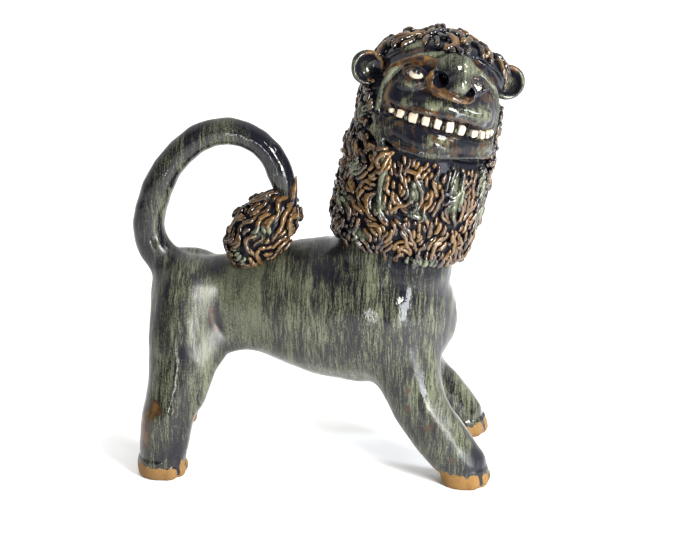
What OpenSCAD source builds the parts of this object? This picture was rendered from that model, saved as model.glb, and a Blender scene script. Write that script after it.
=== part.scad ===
// Guardian lion figure in glazed stoneware, built up from separate clay pieces.
// A thrown barrel carries four rolled legs, a looped tail with a tuft, and a thrown
// neck and head that are clad in pressed clay strands and wear a modelled face.
// The lion faces +X and turns its head to -Y. Z = 0 is the surface that it stands on.

/* [Barrel] */
// Radius of the barrel at the hips
hip_r = 29; // [27:0.5:31]
// Radius of the barrel at the chest
chest_r = 56; // [53:0.5:58]
// Length along the axis over which the barrel swells from hips to chest
swell_len = 125; // [118:1:130]
// Length along the axis from the widest place to the front pole
chest_len = 71; // [66:1:74]
// Wall of the thrown pieces
wall = 7; // [5:0.5:8]

/* [Legs] */
// Radius of a leg at its ankle
ankle_r = 18.5; // [17:0.5:19]
// Radius of a leg where it meets the barrel
shoulder_r = 25; // [23:0.5:26]
// Radius of the round pad of a paw
pad_r = 18.5; // [17:0.5:19]
// Radius of one toe
toe_r = 7; // [6:0.5:8]

/* [Tail] */
// Radius of the tail at its root
tail_root_r = 13.5; // [12:0.5:14]
// Radius of the tail at its tip
tail_tip_r = 8.5; // [7.5:0.5:9.5]
// Radius of the tuft's core at its middle
tuft_r = 20; // [18:0.5:21]

/* [Neck and head] */
// Outer radius of the thrown neck
neck_r = 46; // [44:0.5:47]
// Height of the head's dome above the head's centre
dome_top = 42; // [40:0.5:44]
// Thickness of the layer of pressed strands
strand_layer = 10; // [8:0.5:12]
// Width of one pressed strand
strand_w = 4; // [3:0.5:5]

/* [Face] */
// Thickness of the face slab near the mouth
face_t = 4; // [3:0.5:5]
// Radius of an eyeball
eye_r = 6.5; // [5.5:0.5:7]
// Outer radius of an ear
ear_r = 13; // [11:0.5:14]

/* [Hidden] */

glaze_green = [0.27, 0.31, 0.24];
glaze_dark = [0.10, 0.11, 0.14];
glaze_amber = [0.42, 0.25, 0.10];
bare_clay = [0.80, 0.55, 0.30];
slip_white = [0.90, 0.86, 0.76];
slip_black = [0.05, 0.05, 0.06];

// Barrel: a body of revolution about an axis that dips towards the chest.
hip_centre = [-106, 0, 129.5];
barrel_dip = 4.6;
cap_power = 2.2;

// Head: local frame with the face towards -Y, local Z along the neck.
head_centre = [78, 14, 284];
head_lean = [-10, 13, 0];
head_turn = 15;
neck_low = -128;
neck_top = -36;
tier_z = [-116, -74, -36];

// Face slab: its back edge, its height limits, and how far its own axis stands forward.
face_back = -10;
face_low = -33;
face_high = 37;
face_forward = 4.5;
face_round = face_high + 10;

// ---------------------------------------------------------------- helpers

function ease(t) = let (c = min(1, max(0, t))) c * c * (3 - 2 * c);
function mix(a, b, t) = a + (b - a) * t;

// Catmull-Rom point on a list of control points, t counted in spans.
function spline_at(p, t) =
    let (
        n = len(p) - 1,
        i = min(n - 1, floor(t)),
        f = t - i,
        a = p[max(0, i - 1)],
        b = p[i],
        c = p[i + 1],
        d = p[min(n, i + 2)]
    )
    0.5 * (2 * b + (c - a) * f + (2 * a - 5 * b + 4 * c - d) * f * f
        + (3 * b - a - 3 * c + d) * f * f * f);
function spline(p, n) = [for (i = [0:n]) spline_at(p, (len(p) - 1) * i / n)];

// Rolled clay: spheres along [x, y, z, r] points, each pair joined by a hull.
module rolled(points, fn = 20) {
    for (i = [0:len(points) - 2])
        hull() {
            for (q = [points[i], points[i + 1]])
                translate([q[0], q[1], q[2]]) sphere(r = q[3], $fn = fn);
        }
}

module in_head() {
    translate(head_centre) rotate(head_lean) rotate([0, 0, head_turn]) children();
}

// ---------------------------------------------------------------- barrel

barrel_fore = swell_len + 10;
function barrel_radius(s, inset) =
    s <= barrel_fore
        ? mix(hip_r, chest_r, ease(s / swell_len)) - inset
        : (chest_r - inset) * sqrt(max(0, 1 - pow((s - barrel_fore) / (chest_len - inset), cap_power)));

// Half outline, radius against distance along the axis from the hip centre.
function barrel_outline(inset) = concat(
    [for (a = [-90:15:-15]) [(hip_r - inset) * cos(a), (hip_r - inset) * sin(a)]],
    [for (s = [0:9:barrel_fore]) [barrel_radius(s, inset), s]],
    [for (a = [12:13:90]) let (s = barrel_fore + (chest_len - inset) * sin(a)) [barrel_radius(s, inset), s]],
    [[0, barrel_fore + chest_len - inset]]
);

module barrel_form(inset = 0) {
    translate(hip_centre)
        rotate([0, 90 + barrel_dip, 0])
            rotate_extrude($fn = 72) polygon(barrel_outline(inset));
}

neck_port_r = 10;
belly_vent_r = 2.5;
module barrel() {
    color(glaze_green)
        difference() {
            barrel_form();
            barrel_form(wall);
            translate([54, -5, 130]) cylinder(r = neck_port_r, h = 60, $fn = 48);
            translate([-10, 0, 40]) cylinder(r = belly_vent_r, h = 80, $fn = 32);
        }
}

// ---------------------------------------------------------------- legs and paws

// Control points [x, y, z, r] from the barrel down to the ankle.
hind_right = [[-105, -15, 134, shoulder_r], [-110, -28, 104, shoulder_r - 1],
    [-113, -41, 69, ankle_r + 2], [-119, -49, 40, ankle_r + 1], [-122, -51, 14, ankle_r - 0.5]];
hind_left = [[-106, 14, 132, shoulder_r], [-113, 26, 102, shoulder_r - 1],
    [-118, 38, 68, ankle_r + 2], [-125, 46, 40, ankle_r + 0.5], [-129, 49, 14, ankle_r - 1]];
front_right = [[56, -26, 100, shoulder_r + 2], [64, -35, 80, shoulder_r - 1],
    [75, -43, 55, ankle_r + 2], [92, -49, 33, ankle_r + 1], [107, -50, 15, ankle_r - 0.5]];
front_left = [[55, 24, 98, shoulder_r + 1], [61, 32, 77, shoulder_r - 2],
    [71, 40, 53, ankle_r + 1], [87, 45, 33, ankle_r], [101, 47, 15, ankle_r - 1]];

// Centre of each paw on the ground, and the way that its toes point.
hind_right_foot = [-123, -51, -8];
hind_left_foot = [-130, 49, 4];
front_right_foot = [108, -50, -12];
front_left_foot = [103, 47, 8];
pad_z = 8;
toe_z = 5.5;
toe_reach = 13.5;
toe_angles = [-51, -17, 17, 51];

module paw_form(foot) {
    translate([foot[0], foot[1], 0])
        rotate([0, 0, foot[2]])
            difference() {
                union() {
                    translate([0, 0, pad_z]) sphere(r = pad_r, $fn = 48);
                    for (a = toe_angles)
                        rotate([0, 0, a])
                            translate([toe_reach, 0, toe_z]) sphere(r = toe_r, $fn = 32);
                }
                translate([-40, -40, -40]) cube([80, 80, 40]);
            }
}

module paw(foot) {
    color(bare_clay)
        intersection() {
            paw_form(foot);
            translate([foot[0] - 40, foot[1] - 40, 0]) cube([80, 80, pad_z + 6]);
        }
}

module leg(points, foot) {
    color(glaze_green)
        difference() {
            rolled(spline(points, 10));
            barrel_form();
            paw(foot);
            translate([-200, -100, -50]) cube([400, 200, 54]);
        }
}

// ---------------------------------------------------------------- tail

tail_path = [[-118, 0, 146], [-133, 0, 165], [-136.5, 0, 187], [-124, 0, 223], [-99, 0, 250],
    [-72, 0, 257], [-47, -1, 246], [-34, -2, 222], [-32, -3, 203]];
tail_points = [for (i = [0:18])
    let (t = i / 18, p = spline_at(tail_path, t * (len(tail_path) - 1)))
    [p[0], p[1], p[2], mix(tail_root_r, tail_tip_r, t)]];

tuft_top = [-34, -4, 202];
tuft_end = [-64, -11, 164];
tuft_points = [for (i = [0:8])
    let (t = i / 8, p = mix(tuft_top, tuft_end, t))
    [p[0], p[1], p[2], mix(tuft_r * 0.62, tuft_r, sin(mix(20, 155, t)))]];

module tail() {
    color(glaze_green)
        difference() {
            rolled(tail_points);
            barrel_form();
            rolled(tuft_points);
            rolled(spline(hind_right, 10));
            rolled(spline(hind_left, 10));
        }
}

module tail_tuft_core() {
    color(glaze_dark)
        difference() {
            rolled(tuft_points);
            barrel_form();
        }
}

// Strands laid lengthwise round the tuft, each one rolled along the core's outline.
tuft_strands = 18;
tuft_strand_r = 2;
module tail_tuft_strands() {
    axis = (tuft_end - tuft_top) / norm(tuft_end - tuft_top);
    side = cross(axis, [0, 1, 0]) / norm(cross(axis, [0, 1, 0]));
    up = cross(side, axis);
    color(glaze_amber)
        difference() {
            for (k = [0:tuft_strands - 1]) {
                a = 360 * k / tuft_strands;
                rolled([for (i = [0:2:8])
                    let (q = tuft_points[i], r = q[3] + tuft_strand_r * 0.4)
                    [q[0] + r * (cos(a) * side[0] + sin(a) * up[0]),
                     q[1] + r * (cos(a) * side[1] + sin(a) * up[1]),
                     q[2] + r * (cos(a) * side[2] + sin(a) * up[2]), tuft_strand_r]], 6);
            }
            rolled(tuft_points);
            rolled(tail_points);
            barrel_form();
        }
}

// ---------------------------------------------------------------- neck and head

// The thrown neck carries on up into the dome: radius against local height.
dome_wide = neck_r + 1;
dome_power = 2.2;
function dome_radius(z, inset) =
    let (h = dome_top - inset, r = dome_wide - inset)
    z <= 0 ? r : r * sqrt(max(0, 1 - pow(z / h, dome_power)));
function dome_outline(inset) = concat(
    [[0, neck_top], [dome_radius(neck_top, inset), neck_top], [dome_radius(0, inset), 0]],
    [for (a = [12:12:84]) let (z = (dome_top - inset) * sin(a)) [dome_radius(z, inset), z]],
    [[0, dome_top - inset]]
);

module dome_form(inset = 0) {
    rotate_extrude($fn = 72) polygon(dome_outline(inset));
}

module neck() {
    color(glaze_dark)
        difference() {
            in_head()
                rotate_extrude($fn = 72)
                    polygon([[neck_r - wall, neck_low], [neck_r, neck_low],
                        [dome_wide, neck_top], [dome_wide - wall, neck_top]]);
            barrel_form();
        }
}

module head_dome() {
    color(glaze_green)
        in_head()
            difference() {
                dome_form();
                dome_form(wall);
                eyes_form();
            }
}

// ---------------------------------------------------------------- strand-clad mane

// A quarter or so of a ring round the neck, its outside ribbed by upright strands.
module mane_section(z_low, z_high, r_out, from, sweep) {
    ribs = floor(r_out * sweep * PI / 180 / strand_w);
    steps = ribs * 4;
    outer = [for (i = [0:steps])
        let (a = from + sweep * i / steps, bump = abs(sin(180 * ribs * i / steps)))
        (r_out - strand_w * 0.5 * (1 - bump)) * [cos(a), sin(a)]];
    inner = [for (i = [0:16]) let (a = from + sweep - sweep * i / 16) (dome_wide + 0.2) * [cos(a), sin(a)]];
    color(glaze_amber)
        in_head()
            translate([0, 0, z_low])
                linear_extrude(z_high - z_low) polygon(concat(outer, inner));
}

// Outer radius of the three tiers, from the lowest up.
tier_r = [neck_r + strand_layer - 3, neck_r + strand_layer + 1, neck_r + strand_layer - 1];
tier_lap = 0.2;
back_drop = 5;

// ---------------------------------------------------------------- hair

// A wedge of the cap of hair, its outside ribbed by strands that run round the head.
module hair_lock(from, sweep, z_low, t) {
    low = asin(z_low / dome_top);
    ribs = round((90 - low) * 0.8 / strand_w);
    steps = ribs * 4;
    inner = [for (i = [0:8]) let (a = mix(low, 90, i / 8), z = dome_top * sin(a))
        [max(0.3, dome_radius(z, 0) + 0.2), z + 0.2]];
    outer = [for (i = [steps:-1:0])
        let (
            a = mix(low, 90, i / steps),
            z = dome_top * sin(a),
            out = t - strand_w * 0.45 * (1 - abs(sin(180 * ribs * i / steps)))
        )
        [max(0.3, dome_radius(z, 0) + out * cos(a)), z + out * sin(a)]];
    color(glaze_amber)
        in_head()
            rotate([0, 0, from]) rotate_extrude(angle = sweep, $fn = 72) polygon(concat(inner, outer));
}

// Start angle, sweep, lower edge and thickness. -90 degrees is straight over the face.
front_hair_z = face_high + 0.2;
hair_locks = [[-168, 46, front_hair_z, 7], [-122, 40, front_hair_z, 8], [-82, 34, front_hair_z, 11.5],
    [-48, 36, front_hair_z, 11.5], [-12, 44, 30, 11], [32, 58, 6, 9], [90, 58, 6, 8],
    [148, 44, 22, 7.5]];

// ---------------------------------------------------------------- face

// The face is a slab pressed over the front of the dome, thickest straight ahead.

// Distance of the face's outside from the head's axis, straight ahead, at a local height.
face_outer = dome_wide + face_t - face_forward + 2;
function face_ring(z) = face_outer * sqrt(1 - pow(max(0, z) / face_round, dome_power));
function face_reach(z) = face_forward + face_ring(z);
module face_form() {
    intersection() {
        translate([0, -face_forward, 0])
            rotate_extrude($fn = 72)
                polygon(concat([[0, face_low], [face_outer, face_low]],
                    [for (i = [0:10]) let (z = face_high * i / 10) [face_ring(z), z]],
                    [[0, face_high]]));
        translate([-80, -80, face_low - 1]) cube([160, 80 + face_back, 100]);
    }
}

mouth_z = -13;
mouth_half_h = 5;
mouth_depth = 3;
mouth_half_angle = 54;
module mouth_groove() {
    rotate([0, 0, -90 - mouth_half_angle])
        rotate_extrude(angle = 2 * mouth_half_angle, $fn = 72)
            translate([dome_wide + face_t - mouth_depth, mouth_z - mouth_half_h])
                square([12, 2 * mouth_half_h]);
}

// A point on the face: angle from straight ahead, local height, distance from the head's axis.
module on_face(angle, z, r) {
    rotate([0, 0, angle]) translate([0, -r, z]) children();
}

right_eye = [-38, 18];
left_eye = [22, 18];
eye_seat = dome_wide + face_t - 4.5;
module eyes_form() {
    on_face(right_eye[0], right_eye[1], eye_seat) sphere(r = eye_r, $fn = 48);
    on_face(left_eye[0], left_eye[1], eye_seat) sphere(r = eye_r, $fn = 48);
}

module face_slab() {
    color(glaze_green)
        in_head()
            difference() {
                face_form();
                dome_form();
                mouth_groove();
                eyes_form();
            }
}

module eyeball(place) {
    color(slip_white)
        in_head()
            difference() {
                on_face(place[0], place[1], eye_seat) sphere(r = eye_r, $fn = 48);
                pupil_form(place);
            }
}

pupil_r = 2.4;
module pupil_form(place) {
    on_face(place[0] + 2, place[1] + 1.6, eye_seat + eye_r - 0.6) sphere(r = pupil_r, $fn = 32);
}

module pupil(place) {
    color(slip_black) in_head() pupil_form(place);
}

// A brow is an arched roll of clay lying on the face above an eye.
module brow(place) {
    color(glaze_amber)
        in_head()
            difference() {
                on_face(place[0], place[1] - 6, face_reach(place[1] + 8) + 0.5)
                    rotate([90, 0, 0])
                        rotate([0, 0, 30])
                            rotate_extrude(angle = 120, $fn = 48)
                                translate([15.5, 0]) circle(r = 2.6, $fn = 24);
                face_form();
                dome_form();
                eyes_form();
            }
}

// Nose: a roll down the bridge and a roll across the wings, with two pressed nostrils.
nose_bridge = [[-7, -39, 34, 3.5], [-6, -45, 28, 4.5], [-4, -49, 23, 6], [-3, -52, 18, 8]];
nose_wings = [[-16, -47, 12, 5], [-14.5, -50, 14, 6], [-9, -52, 15, 7], [-3, -54, 15.5, 8.5],
    [4, -53, 14, 7], [9.5, -51, 12, 6], [11.5, -48, 11, 5]];
nostrils = [[-12.5, -56.5, 14], [7.5, -58, 12]];
nostril_r = 4;
module nose() {
    color(glaze_green)
        in_head()
            difference() {
                union() {
                    rolled(nose_bridge);
                    rolled(nose_wings);
                }
                for (q = nostrils) translate(q) sphere(r = nostril_r, $fn = 20);
                face_form();
                dome_form();
            }
}

module upper_lip() {
    color(glaze_amber)
        in_head()
            difference() {
                rotate([0, 0, -90 - 27])
                    rotate_extrude(angle = 54, $fn = 72)
                        translate([dome_wide + face_t + 0.5, -5.5]) circle(r = 2.8, $fn = 24);
                face_form();
            }
}

jaw_half_angle = 56;
jaw_r = 8.5;
jaw_z = -26.5;
jaw_seat = dome_wide;
module lower_jaw() {
    color(glaze_green)
        in_head()
            difference() {
                rotate([0, 0, -90 - jaw_half_angle])
                    rotate_extrude(angle = 2 * jaw_half_angle, $fn = 72)
                        translate([jaw_seat, jaw_z]) circle(r = jaw_r, $fn = 36);
                face_form();
                dome_form();
                mouth_groove();
                translate([0, 0, -60]) cylinder(r = 80, h = 60 + face_low, $fn = 24);
            }
}

// Angle from straight ahead, width and height of each tooth, from the lion's right to its left.
teeth = [[-48, 3.6, 3.6], [-40, 5, 5.4], [-29, 6.4, 7], [-17.5, 6.4, 7], [-8, 6, 7.2], [3, 6, 7.6],
    [14, 6.2, 7.6], [25.5, 7, 5.4], [35.5, 5.4, 5.6], [43, 4.6, 5.4], [50, 4.2, 4.8]];
tooth_t = 4;
module tooth(i) {
    w = teeth[i][1];
    h = teeth[i][2];
    corner = 0.9;
    color(slip_white)
        in_head()
            on_face(teeth[i][0], mouth_z, dome_wide + face_t - mouth_depth + 0.2)
                rotate([90, 0, 0])
                    linear_extrude(tooth_t)
                        offset(r = corner, $fn = 16)
                            square([w - 2 * corner, h - 2 * corner], center = true);
}

// An ear is a pinched cup, open towards the front.
ear_depth = 7;
module ear(x, z, tilt) {
    color(glaze_green)
        in_head()
            difference() {
                translate([x, -3, z])
                    rotate([0, 0, tilt])
                        rotate([90, 0, 0])
                            rotate_extrude($fn = 48)
                                polygon([[0, -ear_depth * 0.5], [ear_r * 0.7, -ear_depth * 0.4],
                                    [ear_r, 0], [ear_r, ear_depth * 0.4], [ear_r - 2.6, ear_depth * 0.5],
                                    [ear_r - 4.5, 0], [0, -ear_depth * 0.15]]);
                dome_form();
                face_form();
            }
}

// ---------------------------------------------------------------- assembly

barrel();
leg(hind_right, hind_right_foot);  // hind_right_leg
leg(hind_left, hind_left_foot);  // hind_left_leg
leg(front_right, front_right_foot);  // front_right_leg
leg(front_left, front_left_foot);  // front_left_leg
paw(hind_right_foot);  // hind_right_paw
paw(hind_left_foot);  // hind_left_paw
paw(front_right_foot);  // front_right_paw
paw(front_left_foot);  // front_left_paw
tail();
tail_tuft_core();
tail_tuft_strands();
neck();
head_dome();
face_slab();
lower_jaw();
upper_lip();
nose();
brow(right_eye);  // right_brow
brow(left_eye);  // left_brow
eyeball(right_eye);  // right_eyeball
eyeball(left_eye);  // left_eyeball
pupil(right_eye);  // right_pupil
pupil(left_eye);  // left_pupil
ear(-56, 11, 15);  // right_ear
ear(52, 22.5, -15);  // left_ear
for (i = [0:len(teeth) - 1])
    tooth(i);

sides = [["front", -135], ["left", -45], ["back", 45], ["right", 135]];
for (s = sides) {
    drop = s[0] == "back" || s[0] == "right" ? back_drop : 0;
    mane_section(tier_z[0] - drop, tier_z[1], tier_r[0], s[1], 90);
    mane_section(tier_z[1] + tier_lap, tier_z[2], tier_r[1], s[1], 90);
}
mane_section(tier_z[2] + tier_lap, 3, tier_r[2], -15, 55);  // mane_top_left
mane_section(tier_z[2] + tier_lap, 5, tier_r[2], 40, 100);  // mane_top_back
mane_section(tier_z[2] + tier_lap, -6, tier_r[2], 140, 55);  // mane_top_right
for (i = [0:len(hair_locks) - 1])
    hair_lock(hair_locks[i][0], hair_locks[i][1], hair_locks[i][2], hair_locks[i][3]);
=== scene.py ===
"""Looks for the glazed stoneware lion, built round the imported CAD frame.

Lengths in the shape code are millimetres in the row frame (or in the head's own frame, where a
comment says so) and become metres when a mesh is made. The clay forms are signed distance fields
that blend into each other as slip and glaze blend the real joints; the hair is single strands.
"""

import math

import bpy
import numpy as np
import openvdb
from mathutils import Matrix, Vector


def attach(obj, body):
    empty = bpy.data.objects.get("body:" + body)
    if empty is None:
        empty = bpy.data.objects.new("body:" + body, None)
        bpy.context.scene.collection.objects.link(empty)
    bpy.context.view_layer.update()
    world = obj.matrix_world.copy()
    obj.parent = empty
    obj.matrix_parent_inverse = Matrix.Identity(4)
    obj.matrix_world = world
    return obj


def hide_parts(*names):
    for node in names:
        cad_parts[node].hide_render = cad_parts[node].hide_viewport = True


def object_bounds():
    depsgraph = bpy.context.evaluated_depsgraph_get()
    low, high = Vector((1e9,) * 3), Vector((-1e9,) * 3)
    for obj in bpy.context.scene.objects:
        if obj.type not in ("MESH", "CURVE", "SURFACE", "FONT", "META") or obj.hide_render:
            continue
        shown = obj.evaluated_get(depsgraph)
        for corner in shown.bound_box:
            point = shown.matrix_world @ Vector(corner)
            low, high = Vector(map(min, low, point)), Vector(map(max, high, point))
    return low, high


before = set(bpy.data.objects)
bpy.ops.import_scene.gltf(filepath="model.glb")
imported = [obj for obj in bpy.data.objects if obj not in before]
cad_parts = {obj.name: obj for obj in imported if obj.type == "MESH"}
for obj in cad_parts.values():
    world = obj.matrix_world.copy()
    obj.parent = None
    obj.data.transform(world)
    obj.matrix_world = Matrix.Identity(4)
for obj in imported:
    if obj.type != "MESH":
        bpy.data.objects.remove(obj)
cad_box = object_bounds()

MM = 0.001
BODY_VOXEL = 1.2
HEAD_VOXEL = 0.75

# The head's own frame: origin at the head's centre, face towards -Y, Z along the neck.
HEAD = (
    Matrix.Translation((78, 14, 284))
    @ Matrix.Rotation(math.radians(13), 4, "Y")
    @ Matrix.Rotation(math.radians(-10), 4, "X")
    @ Matrix.Rotation(math.radians(15), 4, "Z")
)
NECK_R = 46.0
DOME = (47, 47, 42)


# ------------------------------------------------------------------ distance fields


class Volume:
    """A signed distance field on a regular grid, with the clay piece that each cell belongs to."""

    def __init__(self, low, high, voxel):
        self.low, self.voxel = np.array(low, float), voxel
        self.shape = tuple((np.ceil((np.array(high) - self.low) / voxel) + 1).astype(int))
        axes = [self.low[i] + voxel * np.arange(n, dtype=np.float32) for i, n in enumerate(self.shape)]
        axes = [a.astype(np.float32) for a in axes]
        self.x, self.y, self.z = np.meshgrid(*axes, indexing="ij", sparse=True)
        self.field = np.full(self.shape, 99.0, np.float32)
        self.nearest = np.full(self.shape, 99.0, np.float32)
        self.label = np.zeros(self.shape, np.uint8)
        self.names = []

    def off(self, point):
        """Each cell's offset from a point, as the three axes' parts."""
        return self.x - point[0], self.y - point[1], self.z - point[2]

    def add(self, distance, blend, name):
        """Joins a form, smoothly over the blend length, and claims the cells where it is nearest."""
        if name not in self.names:
            self.names.append(name)
        distance = np.broadcast_to(distance, self.shape)
        closer = distance < self.nearest
        self.label[closer] = self.names.index(name)
        self.nearest[closer] = distance[closer]
        h = np.clip(0.5 + 0.5 * (self.field - distance) / blend, 0, 1)
        self.field = self.field + (distance - self.field) * h - blend * h * (1 - h)

    def cut(self, distance, blend):
        h = np.clip(0.5 - 0.5 * (self.field + distance) / blend, 0, 1)
        self.field = self.field + (-distance - self.field) * h + blend * h * (1 - h)

    def blur(self, times):
        for _ in range(times):
            for axis in range(3):
                f = np.moveaxis(self.field, axis, 0)
                f[1:-1] = 0.25 * (f[:-2] + f[2:]) + 0.5 * f[1:-1]

    def wobble(self, cell, amount, seed):
        """Uneven, hand-made surface: smooth random dents of about the cell's size."""
        rng = np.random.default_rng(seed)
        v = rng.uniform(-1, 1, [int(n * self.voxel / cell) + 3 for n in self.shape])
        for axis, n in enumerate(self.shape):
            t = np.arange(n) * self.voxel / cell
            i = t.astype(int)
            f = ((t - i) ** 2 * (3 - 2 * (t - i))).reshape(-1, 1, 1)
            v = np.moveaxis(v, axis, 0)
            v = np.moveaxis(v[i] * (1 - f) + v[i + 1] * f, 0, axis)
        self.field += (amount * v).astype(np.float32)

    def from_node(self, name, reach=14.0, filled=False):
        """The distance to a CAD node. Filled closes the hollow of a thrown piece."""
        verts, tris = node_triangles(name)
        band = reach / self.voxel
        grid = openvdb.FloatGrid.createLevelSetFromPolygons(
            (verts - self.low) / self.voxel, triangles=tris.astype(np.uint32), halfWidth=band
        )
        out = np.empty(self.shape, np.float32)
        grid.copyToArray(out)
        out *= self.voxel
        if filled:
            solid = out < 0
            before = np.logical_or.accumulate(solid, axis=1)
            after = np.logical_or.accumulate(solid[:, ::-1], axis=1)[:, ::-1]
            out[before & after & ~solid] = -reach
        return out

    def surface(self):
        """Vertices in millimetres, quads, vertex normals and the piece name's index for each quad."""
        grid = openvdb.FloatGrid(99.0)
        grid.copyFromArray(self.field.astype(np.float32))
        points, quads = grid.convertToQuads(isovalue=0.0)
        quads = quads[:, ::-1].astype(np.int64)
        corner = points[quads]
        face_n = np.cross(corner[:, 2] - corner[:, 0], corner[:, 3] - corner[:, 1])
        normals = np.zeros_like(points, dtype=float)
        for k in range(4):
            np.add.at(normals, quads[:, k], face_n)
        centre = np.clip(np.rint(corner.mean(1)).astype(int), 0, np.array(self.shape) - 1)
        probe = np.clip(np.rint(points + unit(normals) * 1.5).astype(int), 0, np.array(self.shape) - 1)
        if self.field[tuple(probe.T)].mean() < 0:
            quads, normals = quads[:, ::-1], -normals
        labels = self.label[tuple(centre.T)]
        return points * self.voxel + self.low, quads, unit(normals), labels


def unit(v):
    return v / np.maximum(np.linalg.norm(v, axis=-1, keepdims=True), 1e-9)


def node_triangles(name):
    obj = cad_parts[name]
    mesh = obj.data
    mesh.calc_loop_triangles()
    verts = np.empty(len(mesh.vertices) * 3)
    mesh.vertices.foreach_get("co", verts)
    place = obj.matrix_world
    verts = verts.reshape(-1, 3) @ np.array(place.to_3x3()).T + np.array(place.translation)
    tris = np.empty(len(mesh.loop_triangles) * 3, np.int32)
    mesh.loop_triangles.foreach_get("vertices", tris)
    rounded, inverse = np.unique(np.round(verts / MM, 4), axis=0, return_inverse=True)
    tris = inverse.reshape(-1)[tris].reshape(-1, 3)
    keep = (tris[:, 0] != tris[:, 1]) & (tris[:, 1] != tris[:, 2]) & (tris[:, 2] != tris[:, 0])
    return rounded, tris[keep]


def ball(v, centre, radius):
    dx, dy, dz = v.off(centre)
    return np.sqrt(dx**2 + dy**2 + dz**2) - radius


def egg(v, centre, radii):
    """An ellipsoid's distance, near enough close to its surface."""
    q = [d / r for d, r in zip(v.off(centre), radii)]
    k = np.sqrt(q[0] ** 2 + q[1] ** 2 + q[2] ** 2)
    g = np.sqrt((q[0] / radii[0]) ** 2 + (q[1] / radii[1]) ** 2 + (q[2] / radii[2]) ** 2)
    return (k * (k - 1) / np.maximum(g, 1e-4)).astype(np.float32)


def roll(v, points, radii):
    """A roll of clay along a few points."""
    out = None
    for (a, ra), (b, rb) in zip(zip(points, radii), zip(points[1:], radii[1:])):
        a, b = np.array(a, float), np.array(b, float)
        d = b - a
        dx, dy, dz = v.off(a)
        t = np.clip((dx * d[0] + dy * d[1] + dz * d[2]) / float(d @ d), 0, 1)
        dist = np.sqrt((dx - t * d[0]) ** 2 + (dy - t * d[1]) ** 2 + (dz - t * d[2]) ** 2)
        dist = dist - (ra + (rb - ra) * t)
        out = dist if out is None else np.minimum(out, dist)
    return out


def waves(points, length, seed, count=6):
    """Smooth noise in about -1 to 1 at points (n, 3): a few random plane waves of the given length."""
    rng = np.random.default_rng(seed)
    k = unit(rng.normal(size=(count, 3))) * rng.uniform(0.7, 1.4, (count, 1)) * 2 * math.pi / length
    return np.cos(np.atleast_2d(points) @ k.T + rng.uniform(0, 6.28, count)).sum(1) / math.sqrt(count)


def step(value, low, high):
    """0 below low, 1 above high, with a smooth ramp between."""
    t = np.clip((value - low) / (high - low), 0, 1)
    return t * t * (3 - 2 * t)


def bell(value, centre, width):
    return np.exp(-(((value - centre) / width) ** 2))


def ends(line, end, middle):
    """Radii along a line that is thinner at its two ends."""
    return [end] + [middle] * (len(line) - 2) + [end]


# ------------------------------------------------------------------ materials


class Shader:
    """A material's node tree, with sockets passed as plain Python values or as other nodes' outputs."""

    def __init__(self, name):
        self.material = bpy.data.materials.new(name)
        self.material.use_nodes = True
        self.tree = self.material.node_tree
        self.principled = self.tree.nodes["Principled BSDF"]
        self.position = self.node("ShaderNodeTexCoord").outputs["Object"]

    def node(self, kind, inputs=None, **settings):
        made = self.tree.nodes.new(kind)
        for key, value in settings.items():
            setattr(made, key, value)
        for key, value in (inputs or {}).items():
            self.put(made.inputs[key], value)
        return made

    def put(self, socket, value):
        if isinstance(value, bpy.types.NodeSocket):
            self.tree.links.new(value, socket)
        else:
            socket.default_value = value

    def noise(self, scale, detail=2.0, roughness=0.5, offset=0.0, at=None):
        at = at or self.position
        mapping = {"Vector": at, "Scale": scale, "Location": (offset,) * 3}
        stretched = self.node("ShaderNodeMapping", mapping).outputs[0]
        settings = {"Vector": stretched, "Scale": 1.0, "Detail": detail, "Roughness": roughness}
        return self.node("ShaderNodeTexNoise", settings).outputs["Fac"]

    def stirred(self, scale, amount):
        """The position pushed about a little, so that streaks wander."""
        noise = self.node("ShaderNodeTexNoise", {"Vector": self.position, "Scale": scale, "Detail": 2.0})
        push = {0: noise.outputs["Color"], 1: (amount,) * 3}
        push = self.node("ShaderNodeVectorMath", push, operation="MULTIPLY").outputs[0]
        return self.node("ShaderNodeVectorMath", {0: self.position, 1: push}, operation="ADD").outputs[0]

    def math(self, operation, *values):
        made = self.node("ShaderNodeMath", operation=operation)
        for socket, value in zip(made.inputs, values):
            self.put(socket, value)
        return made.outputs[0]

    def sway(self, value, noise, amount):
        """Moves a value up and down by a noise that runs from 0 to 1."""
        return self.math("MULTIPLY_ADD", self.math("SUBTRACT", noise, 0.5), amount, value)

    def ease(self, value, low, high):
        span = {"Value": value, "From Min": low, "From Max": high}
        return self.node("ShaderNodeMapRange", span, interpolation_type="SMOOTHSTEP").outputs["Result"]

    def mix(self, factor, a, b):
        made = self.node("ShaderNodeMix", data_type="RGBA")
        self.put(made.inputs[0], factor)
        self.put(made.inputs[6], a)
        self.put(made.inputs[7], b)
        return made.outputs[2]

    def ramp(self, value, *stops):
        made = self.node("ShaderNodeValToRGB", {"Fac": value})
        elements = made.color_ramp.elements
        while len(elements) < len(stops):
            elements.new(0.5)
        for element, (at, colour) in zip(elements, stops):
            element.position, element.color = at, colour
        return made.outputs["Color"]

    def attribute(self, name):
        return self.node("ShaderNodeAttribute", attribute_name=name).outputs["Fac"]


def rgb(r, g, b):
    return (r, g, b, 1.0)


NAVY = rgb(0.0055, 0.0060, 0.0095)
SOOT = rgb(0.012, 0.012, 0.012)
OLIVE = rgb(0.041, 0.044, 0.029)
SAGE = rgb(0.083, 0.090, 0.058)
PALE_SAGE = rgb(0.128, 0.138, 0.086)
AMBER = rgb(0.096, 0.052, 0.016)
RUST = rgb(0.036, 0.019, 0.010)
CLAY = rgb(0.225, 0.125, 0.040)
SHADED_CLAY = rgb(0.150, 0.078, 0.023)


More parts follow.
